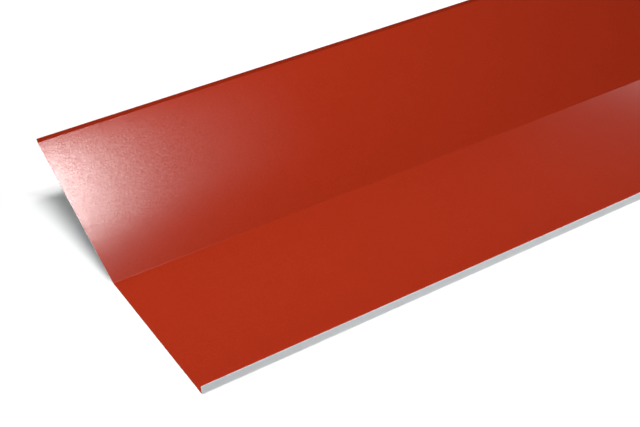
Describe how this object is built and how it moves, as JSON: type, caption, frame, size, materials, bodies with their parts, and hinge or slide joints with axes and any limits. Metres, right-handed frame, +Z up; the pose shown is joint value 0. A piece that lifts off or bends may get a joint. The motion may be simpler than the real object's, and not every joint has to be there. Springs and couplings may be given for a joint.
{
  "type": "valley flashing",
  "caption": "Sheet metal valley flashing: a shallow V folded from one strip, with a leaning water fold along the near edge and a low one along the far edge.",
  "frame": {"origin": "centre of the bounding box's bottom, on the ground that the near wing lies on", "axes": "+X along the flashing, +Y from the near wing lying flat to the raised far wing, +Z up"},
  "size_m": [2, 0.3856, 0.086],
  "materials": {
    "red_coat": "semi-gloss"
  },
  "bodies": {
    "root": {"flashing_sheet": "red_coat"}
  },
  "joints": []
}
